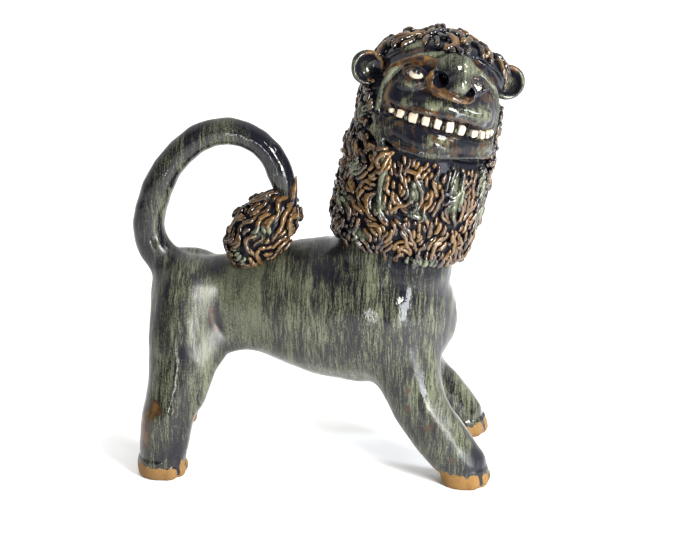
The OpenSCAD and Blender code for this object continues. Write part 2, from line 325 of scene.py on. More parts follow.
def glaze_material(name):
    """Running stoneware glaze, shifted by mesh attributes: tone (darker below 0), calm (fewer runs),
    satin (rougher), gloss (stronger reflections), wear (amber where the glaze breaks thin), clay (bare
    body where it was wiped off) and turn (1 where the surface faces along X)."""
    s = Shader(name)
    keys = ("tone", "calm", "satin", "gloss", "wear", "clay", "turn")
    tone, calm, satin, gloss, wear, clay, turn = (s.attribute(key) for key in keys)
    wander = s.stirred(85, 0.0034)

    def runs(across, down, detail, offset):
        """Streaks down the surface, whichever way it faces, from -0.5 to 0.5."""
        side, front = (
            s.noise(scale, detail=detail, roughness=0.66, offset=offset, at=wander)
            for scale in ((across, down * 1.3, down), (down * 1.3, across, down))
        )
        return s.math("SUBTRACT", s.mix(turn, side, front), 0.5)

    level = s.math("MULTIPLY", runs(1020, 72, 5, 0.0), 1.45)
    level = s.math("MULTIPLY_ADD", runs(190, 15, 3, 4.4), 0.78, level)
    level = s.math("MULTIPLY", level, s.math("MULTIPLY_ADD", calm, -0.72, 1.0))
    level = s.sway(level, s.noise((1300, 1300, 600), detail=3, roughness=0.7, offset=3.1), 0.85)
    level = s.sway(level, s.noise((30, 30, 12), detail=3, roughness=0.55, offset=7.7), 0.35)
    level = s.math("ADD", s.math("ADD", level, 0.5), tone)
    colour = s.ramp(level, (0.24, NAVY), (0.38, SOOT), (0.49, OLIVE), (0.62, SAGE), (0.95, PALE_SAGE))

    edge = s.sway(wear, s.noise((260, 260, 120), detail=3, roughness=0.6, offset=1.3), 0.9)
    colour = s.mix(s.ease(edge, 0.30, 0.52), colour, RUST)
    colour = s.mix(s.ease(edge, 0.52, 0.74), colour, AMBER)

    grain = s.noise((1500, 1500, 1500), detail=2, roughness=0.7)
    body = s.mix(s.ease(grain, 0.35, 0.7), SHADED_CLAY, CLAY)
    bare = s.sway(clay, s.noise((330, 330, 200), detail=3, offset=5.0), 0.5)
    colour = s.mix(s.ease(bare, 0.36, 0.46), colour, RUST)
    colour = s.mix(s.ease(bare, 0.47, 0.52), colour, body)

    dull = s.ease(bare, 0.46, 0.53)
    peel = s.noise((210, 210, 150), detail=2, roughness=0.5)
    pits = s.noise((900, 900, 700), detail=1, roughness=0.5, offset=2.2)
    height = s.math("MULTIPLY_ADD", pits, 0.18, peel)
    height = s.math("MULTIPLY_ADD", grain, s.math("MULTIPLY", dull, 0.5), height)
    bump = s.node("ShaderNodeBump", {"Height": height, "Strength": 0.35, "Distance": 0.0006})

    rough = s.math("MULTIPLY_ADD", dull, 0.68, s.math("MULTIPLY_ADD", satin, 0.30, 0.07))
    p = s.principled
    s.put(p.inputs["Base Color"], colour)
    s.put(p.inputs["Roughness"], rough)
    s.put(p.inputs["Normal"], bump.outputs[0])
    p.inputs["IOR"].default_value = 1.5
    s.put(p.inputs["Specular IOR Level"], s.math("MULTIPLY_ADD", gloss, 0.30, 0.34))
    return s.material


GLAZE = glaze_material("running_glaze")


# ------------------------------------------------------------------ pieces


def make_piece(name, verts, faces, nodes, material=GLAZE, normals=None, attributes=None, matrix=None):
    """Makes a shown piece from millimetre vertices, on the figure's one body. The attributes are one
    value for each vertex, or one for them all."""
    if matrix is not None:
        m = np.array(matrix)
        verts = verts @ m[:3, :3].T + m[:3, 3]
        if normals is not None:
            normals = normals @ m[:3, :3].T
    mesh = bpy.data.meshes.new(name)
    mesh.from_pydata((verts * MM).tolist(), [], faces.tolist() if hasattr(faces, "tolist") else faces)
    mesh.polygons.foreach_set("use_smooth", [True] * len(mesh.polygons))
    for key, values in (attributes or {}).items():
        layer = mesh.attributes.new(key, "FLOAT", "POINT")
        values = np.broadcast_to(np.asarray(values, np.float32), len(verts))
        layer.data.foreach_set("value", np.ascontiguousarray(values))
    if normals is not None:
        mesh.normals_split_custom_set_from_vertices(normals.tolist())
    flat = np.empty(len(mesh.vertices) * 3)
    mesh.vertices.foreach_get("normal", flat)
    nx, ny, _ = np.abs(flat.reshape(-1, 3)).T
    turn = mesh.attributes.new("turn", "FLOAT", "POINT")
    turn.data.foreach_set("value", step(nx / (nx + ny + 0.25), 0.5, 0.75).astype(np.float32))
    mesh.materials.append(material)
    piece = bpy.data.objects.new(name, mesh)
    bpy.context.scene.collection.objects.link(piece)
    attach(piece, "root")
    if nodes:
        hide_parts(*nodes)
    return piece


def split_pieces(volume, plan, shade, matrix=None):
    """Meshes a volume and cuts it into its clay pieces, whose shared edges keep shared normals."""
    verts, quads, normals, labels = volume.surface()
    for name, (nodes, slot) in plan.items():
        chosen = quads[labels == volume.names.index(name)]
        used, index = np.unique(chosen, return_inverse=True)
        own, own_n = verts[used], normals[used]
        make_piece(
            name, own, index.reshape(-1, 4), nodes, normals=own_n,
            attributes=shade(name, own, own_n), matrix=matrix,
        )


# ------------------------------------------------------------------ body, legs, tail and paws

# Where each foot stands and which way its toes point: x, y, degrees.
FEET = {
    "hind_right": (-123, -51, -8), "hind_left": (-130, 49, 4),
    "front_right": (108, -50, -12), "front_left": (103, 47, 8),
}
CLEFTS = (-34, 0, 34)  # degrees either side of the toes' direction


def cleft_line(leg, at):
    """The groove between two toes, from the sole up over the knuckles."""
    x, y, turn = FEET[leg]
    a = math.radians(turn + at)
    reach = ((22.5, 1), (22.5, 8), (20, 14), (16, 21))
    return [(x + r * math.cos(a), y + r * math.sin(a), z) for r, z in reach]


def build_body():
    low, high = (np.array(c) / MM for c in cad_box)
    v = Volume(low - 4, (high[0] + 4, high[1] + 4, 276), BODY_VOXEL)
    v.add(v.from_node("barrel", 30, filled=True), 1, "barrel_skin")
    v.add(v.from_node("neck", 30, filled=True) + 5.0, 14, "neck_skin")
    neck_line = [tuple(HEAD @ Vector((0, 0, z))) for z in (-118, -160)]
    v.add(roll(v, neck_line, [39.5, 42]), 18, "neck_skin")
    for side in (-1, 1):
        web = [(-99, side * 42, 62), (-94, side * 38, 84), (-84, side * 26, 101), (-66, side * 10, 109)]
        v.add(roll(v, web, [9, 12, 14, 21]), 8, "barrel_skin")
    v.add(v.from_node("tail"), 9, "tail_skin")
    v.add(roll(v, [(-37, -2, 227), (-34, -2, 219), (-32, -3, 205)], [9.3, 8.6, 6.5]), 2, "tail_skin")
    for leg in FEET:
        v.add(v.from_node(leg + "_leg"), 12, leg + "_leg_skin")
    v.blur(4)
    for leg in FEET:
        v.add(v.from_node(leg + "_paw"), 3, leg + "_paw_skin")
    v.wobble(40, 0.9, 11)
    v.wobble(16, 0.5, 12)
    v.wobble(7, 0.16, 13)
    for leg in FEET:
        for at in CLEFTS:
            v.cut(roll(v, cleft_line(leg, at), [1.7, 1.9, 1.6, 0.6]), 1.5)
    v.cut(v.z - 0.15, 0.8)  # the flat soles
    plan = {
        "barrel_skin": (["barrel"], "green_glaze"),
        "neck_skin": (["neck"], "dark_glaze"),
        "tail_skin": (["tail"], "green_glaze"),
    }
    for leg in FEET:
        plan[leg + "_leg_skin"] = ([leg + "_leg"], "green_glaze")
        plan[leg + "_paw_skin"] = ([leg + "_paw"], "bare_clay")
    split_pieces(v, plan, shade_body)


# Glaze marks: x, y, z, width, height, and how much tone or wear each adds.
DARK_MARKS = (
    (-84, -20, 157, 7, 10, -0.34), (-97, -33, 149, 2.6, 14, -0.42), (-84, -34, 122, 5, 18, -0.30),
    (-101, -52, 99, 3.5, 5, -0.35), (-80, -30, 108, 5, 14, -0.28), (-110, -55, 44, 7, 26, -0.22),
    (-120, -20, 165, 14, 30, -0.16), (-112, -60, 20, 10, 9, -0.34), (118, -58, 20, 12, 9, -0.30),
)
BROWN_MARKS = (
    (-129, -64, 52, 9, 13, 0.56), (-134, -62, 30, 9, 11, 0.56), (-124, -63, 60, 5, 7, 0.44),
    (-136, -58, 40, 5, 12, 0.42), (-85, -36, 126, 4.5, 15, 0.46), (-81, -32, 108, 4, 10, 0.42),
    (-130, -30, 134, 4, 26, 0.46), (65, -59, 78, 3.4, 4, 0.55), (80, -65, 50, 4, 5, 0.52),
    (85, -63, 56, 3, 4, 0.48), (93, -48, 63, 3.2, 4, 0.5), (99, -68, 25, 4.5, 4, 0.55),
    (66, -61, 64, 5, 6, 0.42), (44, -38, 158, 2.8, 4, 0.5), (75, -45, 165, 2.4, 3, 0.5),
    (-19, -49, 119, 1.8, 2, 0.6), (36, -46, 85, 2.0, 2.4, 0.6), (70, 62, 60, 5, 7, 0.5),
    (-122, 66, 40, 7, 10, 0.55), (-60, 44, 120, 2.5, 4, 0.5), (20, 55, 110, 2.5, 3, 0.5),
)
# Small glossy places on the near foreleg's satin glaze: x, z, width, height.
LEG_GLINTS = ((77, 76, 7, 12), (104, 40, 4, 14))


def marks_at(marks, x, y, z):
    return sum(
        amount * np.exp(-((x - px) ** 2 + (y - py) ** 2 * 0.15) / wide**2 - ((z - pz) / tall) ** 2)
        for px, py, pz, wide, tall, amount in marks
    )


def shade_body(_name, verts, normals):
    x, y, z = verts.T
    level = verts * (1, 1, 0)  # for waves that don't change with height
    near = (y < 0) * 1.0
    flow = waves(verts * (1, 1, 0.2), 34, 21)
    drip = 9 * waves(level, 18, 24) + 5 * waves(level, 7, 25)
    tone = 0.05 * flow - 0.03

    # The dark shoulder and chest, the pale band before the rump, the tail and the rump's back.
    tone -= 0.22 * step(z - drip, 140, 176) * step(x, -42, 12)
    tone -= 0.07 * step(x, 20, 60) * step(z - drip, 70, 150)
    band = step(x, -96, -84) * step(-x + 0.12 * drip, 44, 49) * step(z, 90, 112)
    tone += 0.10 * band
    tone -= 0.09 * step(z, 185, 225) + 0.07 * step(z, 235, 262)
    tone -= 0.14 * step(z, 215, 235) * step(x, -70, -50)
    tone -= 0.16 * step(-x, 122, 140) * step(z, 120, 170) * step(-y + 20, 0, 20)
    tone += marks_at(DARK_MARKS, x, y, z)
    wear = -0.02 + 0.07 * waves(verts, 30, 23) + marks_at(BROWN_MARKS, x, y, z)
    wear += 0.40 * step(-normals[:, 0], 0.80, 0.97) * step(z, 120, 150) * step(225 - z, 0, 30)

    # Bare paws below a ragged line, glazed clefts and thin glaze on the toes.
    foot_line = 12 + 2.4 * waves(level, 15, 22) + 1.2 * waves(level, 5, 26)
    clay = step(foot_line - z, -2.5, 2.5)
    for fx, fy, turn in FEET.values():
        around = np.degrees(np.arctan2(y - fy, x - fx)) - turn
        around = (around + 180) % 360 - 180
        out = np.hypot(x - fx, y - fy)
        for at in CLEFTS:
            line = bell(around, at, 8.5) * step(out, 9, 15) * step(34 - z, 0, 20) * (out < 40)
            clay -= 1.1 * line * step(z, 0.5, 4)
            tone -= 0.30 * line
        toes = step(out, 12, 19) * (out < 32) * (np.abs(around) < 62) * step(30 - z, 0, 12)
        wear += 0.26 * toes
        clay += 0.25 * toes * step(15 - z, 0, 6)

    flank = step(28 - x, 0, 34) * step(x, -112, -100) * step(z, 60, 100) * step(200 - z, 0, 30)
    rump = step(-x, 70, 84) * step(z, 84, 112) * step(172 - z, 0, 10)
    foreleg = step(x, 30, 50) * step(138 - z, 0, 20) * near
    for px, pz, wide, tall in LEG_GLINTS:
        foreleg *= 1 - 0.9 * bell(x, px, wide) * bell(z, pz, tall)
    satin = np.maximum(np.maximum(flank, rump) * near, foreleg)
    neck = step(z, 146, 166) * step(x, 10, 30)
    tone += 0.10 * neck - 0.05 * foreleg
    return {
        "tone": tone, "wear": wear, "clay": clay, "calm": 0.75 * band * near + 0.12,
        "satin": 0.9 * satin + 0.12 * step(flow, 0, 1), "gloss": -0.8 * neck,
    }



build_body()


# ------------------------------------------------------------------ head, mane bed and hair bed


def on_face(angle, z, r):
    """A point in the head's frame, at an angle round from the front, positive towards the right."""
    return (r * math.sin(math.radians(angle)), -r * math.cos(math.radians(angle)), z)


def mane_hem(x):
    """The mane's lower edge, a little higher on the head's left."""
    return -121 + 0.10 * np.maximum(x, 0)


def all_on_face(line, r):
    return [on_face(angle, z, r) for angle, z in line]


def face_reach(z):
    """How far the face slab's skin is from the head's axis, at a height."""
    return 4.5 + 48.5 * math.sqrt(max(0.0, 1 - (max(0.0, z) / 47) ** 2.2))


# The mane's bed of clay under its strands: height up the head, radius round its axis.
BED = (
    (-122, 35.0), (-119, 41.5), (-113, 46.8), (-103, 50.2), (-95, 51.2), (-86, 52.4), (-79, 51.4),
    (-60, 53.0), (-40, 52.0), (-30, 51.0), (8, 50.5),
)
# Hair locks as lumps on the dome: azimuth from +X, elevation, height, spread.
LUMPS = (
    (-150, 42, 6.0, 17), (-118, 56, 8.0, 13), (-84, 60, 11.0, 12), (-60, 52, 10.5, 13),
    (-30, 42, 9.5, 15), (5, 36, 7.5, 18), (50, 40, 6.5, 20), (95, 42, 6.5, 20), (140, 42, 6.5, 20),
    (-170, 40, 6.0, 16), (60, 82, 6.5, 20),
)
# Lower edge of the hair, round the head from -180 degrees.
HAIRLINE = (
    (-180, 14), (-158, 30), (-140, 37.5), (-120, 38.5), (-90, 38.5), (-60, 37.5), (-38, 31), (-15, 17),
    (15, 4), (100, 3), (150, 6), (180, 14),
)


def hair_height(x, y, z):
    """The hair bed's height over the dome, and how far a point is inside the hair's edge."""
    azimuth = np.degrees(np.arctan2(y, x))
    low = np.interp(azimuth, *zip(*HAIRLINE))
    way = unit(np.stack(np.broadcast_arrays(x, y, np.maximum(z, -20) * 47 / 42), -1))
    height = np.full(way.shape[:-1], 2.2)
    for at, up, tall, spread in LUMPS:
        a, e = math.radians(at), math.radians(up)
        centre = np.array((math.cos(a) * math.cos(e), math.sin(a) * math.cos(e), math.sin(e)))
        apart = 47 * np.arccos(np.clip(way @ centre, -1, 1))
        height = np.maximum(height, tall * np.exp(-0.5 * (apart / spread) ** 2) + 0.8)
    return height, z - low


# Lines on the face, in degrees round the head and millimetres up it.
RIM = (
    (-56, -35), (-61, -28), (-65, -12), (-64, 4), (-58, 15), (-51, 24), (-40, 30.5), (-29, 34),
    (-15, 36.2), (-4, 36), (8, 34), (18, 31), (30, 26), (40, 19.5), (50, 11), (58, 2), (64, -8),
    (66, -20), (62, -28),
)
MOUTH = (
    (-58, -12.3), (-50, -12.8), (-28, -13.2), (0, -13.5), (15, -14.2), (33, -15.8), (45, -15.4), (58, -13),
)
JAW = ((-62, -19), (-45, -24), (-25, -27.5), (0, -27), (25, -25.5), (50, -23), (63, -20))
JAW_EDGE = (
    (-64, -21), (-57, -26.5), (-45, -33), (-34, -36.5), (-19, -37.5), (0, -36), (19, -33.5), (47, -31),
    (64, -27),
)
SEAM = ((-60, -28), (-50, -36), (-44, -43.7), (-40, -53), (-40, -64), (-38.5, -77))
POUCH = ((-50, 7), (-43, 8), (-35, 10), (-27, 13))
NOSE_LEDGE = (
    (-16, -46, 25.5), (-20.5, -50, 22), (-21.5, -51.5, 17), (-19, -55, 12), (-13, -59, 10.2),
    (-4, -61.2, 8.4), (3, -61.2, 7.6), (10, -58.5, 7.8), (14.5, -55, 10),
)
BROWS = {
    "right_brow": ((-66, 11), (-60, 17.5), (-51, 23.5), (-42, 27), (-34, 28.5), (-25, 28.5), (-19, 25)),
    "left_brow": ((16, 28), (24, 28.5), (32, 25.5), (39, 20)),
}
EYES = {"right": (-35, 17.6), "left": (18.5, 19.0)}


def along(line, spacing, r):
    """Points on the face along a line, at a radius that may follow the angle and height."""
    angles, heights = zip(*line)
    out = []
    for a in np.arange(angles[0], angles[-1] + 0.1, spacing):
        z = float(np.interp(a, angles, heights))
        out.append(on_face(a, z, r(a, z)))
    return out


def build_head():
    v = Volume((-64, -68, -131), (64, 64, 62), HEAD_VOXEL)
    around = np.sqrt(v.x**2 + v.y**2)
    angle = np.degrees(np.arctan2(v.x, -v.y))

    dome = egg(v, (0, 0, 0), DOME)
    v.add(dome, 1, "head_dome_skin")
    v.add(np.maximum(np.maximum(around - NECK_R, v.z), -104 - v.z), 4, "head_dome_skin")
    bed = around - np.interp(v.z, *zip(*BED))
    front = np.maximum(bed, v.z + 38)
    side = np.maximum(np.maximum(bed, v.z - 6), (66 - np.abs(angle)) * 0.8)
    v.add(np.maximum(np.minimum(front, side), mane_hem(v.x) - v.z), 3, "mane_bed")

    height, inside = hair_height(v.x, v.y, v.z)
    v.add(np.maximum(dome - height, -inside * 0.8), 4, "hair_bed")

    top = np.maximum(1 - (np.clip(v.z, 0, 46) / 47) ** 2.2, 0)
    shelf = np.sqrt(v.x**2 + (v.y + 4.5) ** 2) - (48.5 * np.sqrt(top) - 1.6)
    for plane in (v.z - 36.0, -34 - v.z, v.y + 8):
        h = np.clip(0.5 + (shelf - plane) / 10, 0, 1)
        shelf = plane + (shelf - plane) * h + 5 * h * (1 - h)
    skull = [
        (shelf, 5),
        (ball(v, on_face(-46, -2, 36.5), 14.5), 7),
        (ball(v, on_face(47, -5, 36), 13), 7),
        (egg(v, (3, -43, -1.5), (31, 15, 9.5)), 5),
        (ball(v, on_face(47, -9, 43), 7.5), 5),
    ]
    for form, blend in skull:
        v.add(form, blend, "face_skin")
    jaw = along(JAW, 8, lambda a, z: 46.8)
    v.add(roll(v, jaw, ends(jaw, 6, 8.2)), 3, "lower_jaw_skin")
    v.add(egg(v, (-5, -48, -29), (17, 9, 6.5)), 5, "lower_jaw_skin")
    low_lip = []
    for a in range(-54, 57, 6):
        low_lip.append(on_face(a, np.interp(a, *zip(*MOUTH)) - 7.4, 52.4 - 2.2 * (a / 50) ** 2))
    v.add(roll(v, low_lip, ends(low_lip, 1.2, 2.5)), 2.4, "lower_jaw_skin")

    groove = along(MOUTH, 6, lambda a, z: 54)
    v.cut(roll(v, groove, ends(groove, 2.6, 5.3)), 1.6)
    v.cut(roll(v, [on_face(-50, -8, 52), on_face(-60, -14, 51), on_face(-60, -22, 51)], [0.6, 1.8, 0.8]), 2)

    lip = []
    for a in range(-31, 36, 6):
        lip.append(on_face(a, -5.4 - 1.7 * (a / 30) ** 2, 55.2 - 2.0 * (a / 34) ** 2))
    v.add(roll(v, lip, ends(lip, 1.4, 2.5)), 1.6, "upper_lip_skin")

    for name, line in BROWS.items():
        ridge = [on_face(a, z, face_reach(z) - 1.4) for a, z in line]
        thick = 3.2 if name == "right_brow" else 2.2
        v.add(roll(v, ridge, ends(ridge, 1.4, thick)), 3, name + "_skin")
    for a, z in EYES.values():
        v.cut(egg(v, on_face(a, z, 53), (9, 6, 5.8)), 2.4)
        for height, thick, r in ((4.9, 2.1, 50.6), (-4.6, 2.1, 50.2)):
            lid = []
            for t in np.arange(-10, 10.1, 2):
                bow = math.cos(math.radians(t * 8.5)) ** 0.8
                lid.append(on_face(a + t, z + height * bow, r))
            v.add(roll(v, lid, [thick] * len(lid)), 1.8, "face_skin")
    v.add(roll(v, all_on_face(POUCH, 49.5), [2, 3.4, 3.6, 2.4]), 3, "face_skin")

    nose = [
        (egg(v, (-1, -42, 27), (14.5, 13, 13.5)), 5),
        (egg(v, (-2, -50, 14), (18, 8.5, 8)), 3),
        (ball(v, (1.5, -55, 18.5), 8.2), 4),
        (ball(v, (-17.5, -50, 16), 5.5), 3),
        (ball(v, (11.5, -51, 13.5), 5.6), 3),
    ]
    for form, blend in nose:
        v.add(form, blend, "nose_skin")
    v.add(roll(v, NOSE_LEDGE, [1.0, 1.8, 2.1, 2.2, 2.1, 2.0, 2.0, 1.9, 1.3]), 1.5, "nose_skin")
    v.cut(roll(v, [(-15.0, -59, 19.5), (-12.0, -60, 15)], [4.6, 5.0]), 1.2)
    v.cut(roll(v, [(-14, -57, 17.5), (-9, -43, 20)], [5.4, 3.6]), 1.2)
    v.cut(roll(v, [(11, -61, 13.5), (8.5, -48, 15)], [4.2, 3.0]), 1.2)
    v.cut(roll(v, [(-19, -42, 34), (-17.6, -49.5, 29.5), (-19.5, -52, 25)], [0.8, 1.7, 0.8]), 1.5)

    rim = [on_face(a, z, (face_reach(z) if z > 20 else 50.8) - 0.6) for a, z in RIM]
    v.add(roll(v, rim, [1.8] * len(rim)), 1.4, "rim_skin")
    edge = along(JAW_EDGE, 8, lambda a, z: 52.3)
    v.add(roll(v, edge, [2.0] * len(edge)), 3, "rim_skin")
    v.add(roll(v, all_on_face(SEAM, 54.6), [2.2, 2.8, 3.0, 2.6, 2.4, 1.4]), 3, "rim_skin")

    pools = np.zeros(v.shape, np.float32)
    for a, z, wide, tall in POOLS:
        c = on_face(a, z, 54)
        pools += np.exp(-(((v.x - c[0]) ** 2 + (v.y - c[1]) ** 2) / wide**2 + ((v.z - z) / tall) ** 2))
    v.field -= 2.6 * np.minimum(pools, 1)
    v.wobble(20, 0.55, 31)
    v.wobble(7, 0.16, 32)
    v.blur(1)

    plan = {
        "head_dome_skin": (["head_dome"], "dark_glaze"),
        "mane_bed": ([], "dark_glaze"),
        "hair_bed": ([], "dark_glaze"),
        "face_skin": (["face_slab"], "dark_glaze"),
        "lower_jaw_skin": (["lower_jaw"], "dark_glaze"),
        "upper_lip_skin": (["upper_lip"], "amber_glaze"),
        "right_brow_skin": (["right_brow"], "amber_glaze"),
        "left_brow_skin": (["left_brow"], "amber_glaze"),
        "nose_skin": (["nose"], "green_glaze"),
        "rim_skin": ([], "green_glaze"),
    }
    split_pieces(v, plan, shade_head, HEAD)
    return v


# Where the glaze pooled olive among the mane's strands: angle, height, width, depth.
POOLS = (
    (17, -55, 6, 11), (24, -68, 5, 13), (-13, -66, 5, 9), (-5, -81, 7, 3.5), (-35, -82, 6, 6),
    (-66, -60, 6, 8), (-72, -88, 8, 7), (-50, -108, 9, 5), (10, -117, 20, 3), (46, -52, 5, 14),
    (60, -74, 7, 10), (100, -60, 9, 12), (140, -90, 10, 9), (180, -40, 10, 12), (-120, -70, 9, 10),
    (-150, -100, 10, 8), (-78, -20, 5, 12),
)


def shade_head(name, verts, normals):
    x, y, z = verts.T
    angle = np.degrees(np.arctan2(x, -y))
    flow = waves(verts, 26, 41)
    fine = waves(verts, 9, 42)
    tone = -0.24 + 0.12 * flow + 0.05 * fine
    wear = 0.16 + 0.10 * waves(verts, 20, 43) + 0.06 * fine
    calm = 0.55
    at = np.linspace(0, len(RIM) - 1, 90)
    rim_a, rim_z = (np.interp(at, range(len(RIM)), column) for column in zip(*RIM))
    from_rim = np.sqrt(((angle[:, None] - rim_a) * 0.85) ** 2 + (z[:, None] - rim_z) ** 2).min(1)
    tone += 0.09 * waves(verts, 5, 46)
    if name == "face_skin":
        wear += 0.08 * waves(verts, 14, 44) + 0.16 * bell(from_rim, 6, 3) + 0.05
        tone -= 0.30 * bell(from_rim, 4.5, 2.6)
        muzzle = spot(angle, z, 26, 0, 26, 7) + 0.8 * spot(angle, z, -8, 0, 18, 4.5)
        tone -= 0.10
        tone += 0.36 * muzzle + 0.26 * spot(angle, z, 8, 26, 9, 9) + 0.42 * spot(angle, z, -38, 10, 12, 3.6)
        tone += 0.22 * spot(angle, z, -30, -3, 16, 4) + 0.30 * spot(angle, z, -55, -15, 7, 7)
        wear += 0.22 * spot(angle, z, -60, 8, 9, 22) + 0.18 * spot(angle, z, 35, 15, 8, 12) - 0.4 * muzzle
        wear += 0.22 * spot(angle, z, -42, -8, 20, 3)
    elif name == "rim_skin":
        under = step(-z, 24, 31) * step(56 - np.abs(angle), 0, 12) * step(z, -44, -38)
        crest = (0.30 - 0.2 * step(angle, 5, 30)) * bell(from_rim, 0, 1.8) * step(z, -30, -10)
        tone = -0.10 + 0.08 * flow - 0.12 * under + crest
        tone += 0.16 * step(-z, 30, 36) * spot(angle, z, -42, -56, 10, 24)
        wear = -0.15 + 0.35 * under + 0.2 * under * waves(verts, 12, 45)
    elif name == "nose_skin":
        bulb = np.exp(-((x - 2) ** 2 + (z - 18) ** 2) / 50)
        bridge = step(z, 22, 30) * step(x, -10, 4)
        holes = np.exp(-((x + 13) ** 2 + (z - 17.5) ** 2) / 34)
        holes += np.exp(-((x - 9.5) ** 2 + (z - 13.5) ** 2) / 16)
        tone = -0.20 + 0.28 * bulb + 0.20 * bridge - 0.6 * np.minimum(holes, 1) + 0.10 * flow
        ledge = step(13.5 - z - 0.1 * x, -2.5, 2) + step(-18.5 - x, -1.5, 1.5) * step(27 - z, 0, 4)
        wear = 0.10 + 0.54 * np.minimum(ledge, 1) - 0.4 * bulb + 0.06 * fine - 0.3 * np.minimum(holes, 1)
    elif name == "upper_lip_skin":
        wear = 0.40 + 0.06 * fine + 0.20 * step(normals[:, 2] - normals[:, 1], 0.6, 1.3)
    elif name == "right_brow_skin":
        wear = 0.50 + 0.10 * fine + 0.12 * step(normals[:, 2], 0.3, 0.9)
    elif name == "left_brow_skin":
        tone, wear = tone + 0.1, 0.25 + 0.1 * fine
    elif name == "lower_jaw_skin":
        spot_on_chin = spot(angle, z, -6, -25, 8, 4)
        wear = 0.30 + 0.05 * flow + 0.04 * fine + 0.10 * spot_on_chin
        calm = 0.3
        tone += -0.08 + 0.25 * spot(angle, z, 44, -26, 10, 5) + 0.46 * spot_on_chin
    elif name == "mane_bed":
        pool = sum(spot(angle, z, a, at, wide * 1.3, tall * 1.2) for a, at, wide, tall in POOLS)
        tone = -0.45 + 0.58 * np.minimum(pool, 1) + 0.05 * flow
        wear = -0.1
    elif name == "hair_bed":
        tone = -0.36 + 0.48 * spot(angle, z, -58, 36, 18, 12) + 0.12 * flow
        wear = 0.05 + 0.1 * fine
    gloss = {"mane_bed": -0.9, "lower_jaw_skin": -0.55, "face_skin": -0.25}.get(name, 0.0)
    return {"tone": tone, "wear": wear, "calm": calm, "gloss": gloss}


def spot(angle, z, at, up, wide, tall):
    """A soft patch on the head: degrees round it, millimetres up it."""
    away = (angle - at + 180) % 360 - 180
    return np.exp(-((away / wide) ** 2) - ((z - up) / tall) ** 2)


head_volume = build_head()


# ------------------------------------------------------------------ strands of clay


class Strands:
    """Grows single strands over a volume's surface and keeps them from running through each other."""

    def __init__(self, volume, seed):
        self.v, self.rng = volume, np.random.default_rng(seed)
        self.taken = {}
        self.lines = []
        self.shortest = 5

    def sample(self, p):
        """The field and its slope at a point."""
        q = (p - self.v.low) / self.v.voxel
        i = np.clip(q.astype(int), 1, np.array(self.v.shape) - 3)
        block = self.v.field[i[0] - 1:i[0] + 3, i[1] - 1:i[1] + 3, i[2] - 1:i[2] + 3]
        f = np.clip(q - i, 0, 1)
        wx, wy, wz = ((1 - t, t) for t in f)
        inner = block[1:3, 1:3, 1:3]
        value = np.einsum("i,j,k,ijk", wx, wy, wz, inner)
        slope = np.array((
            np.einsum("i,j,k,ijk", wx, wy, wz, block[2:4, 1:3, 1:3] - block[0:2, 1:3, 1:3]),
            np.einsum("i,j,k,ijk", wx, wy, wz, block[1:3, 2:4, 1:3] - block[1:3, 0:2, 1:3]),
            np.einsum("i,j,k,ijk", wx, wy, wz, block[1:3, 1:3, 2:4] - block[1:3, 1:3, 0:2]),
        ))
        return value, slope / max(np.linalg.norm(slope), 1e-9)

    def ripple(self, p):
        """A bend that neighbouring strands share."""
        return 0.42 * float(waves(p, 15, 63, 4)[0])

    def settle(self, p, h):
        for _ in range(2):
            value, normal = self.sample(p)
            p = p - (value - h) * normal
        return p, normal

    def near(self, p, layer, gap, own=-1):
        """Whether another strand of the layer passes within the gap."""
        c = (p // 4).astype(int)
        for i in (-1, 0, 1):
            for j in (-1, 0, 1):
                for k in (-1, 0, 1):
                    for q, who in self.taken.get((layer, c[0] + i, c[1] + j, c[2] + k), ()):
                        apart = (p[0] - q[0]) ** 2 + (p[1] - q[1]) ** 2 + (p[2] - q[2]) ** 2
                        if who != own and apart < gap * gap:
                            return True
        return False

    def grow(self, start, way, length, radius, h, layer, gap, allowed, wiggle=0.35, curl=0.0):
        """Follows way(point, normal) over the surface; returns whether a strand was laid."""
        own = len(self.lines)
        stride = 1.3
        phase, wave = self.rng.uniform(0, 6.28), self.rng.uniform(8, 15)
        lean = self.rng.normal(0, 0.10)
        p, normal = self.settle(np.array(start, float), h)
        points, normals = [], []
        for n in range(int(length / stride)):
            if not allowed(p) or self.near(p, layer, gap, own):
                break
            points.append(p)
            normals.append(normal)
            s = n * stride
            turn = lean + self.ripple(p) + wiggle * math.sin(6.28 * s / wave + phase)
            turn += curl * max(0, s - 0.45 * length) / length * 6
            d = way(p, normal)
            d = unit(d - normal * (d @ normal))
            side = np.cross(normal, d)
            p = p + stride * (math.cos(turn) * d + math.sin(turn) * side)
            p, normal = self.settle(p, h)
        if len(points) < self.shortest:
            return False
        for q in points:
            self.taken.setdefault((layer, *(q // 4).astype(int)), []).append((q, own))
        self.lines.append((np.array(points), np.array(normals), radius))
        return True


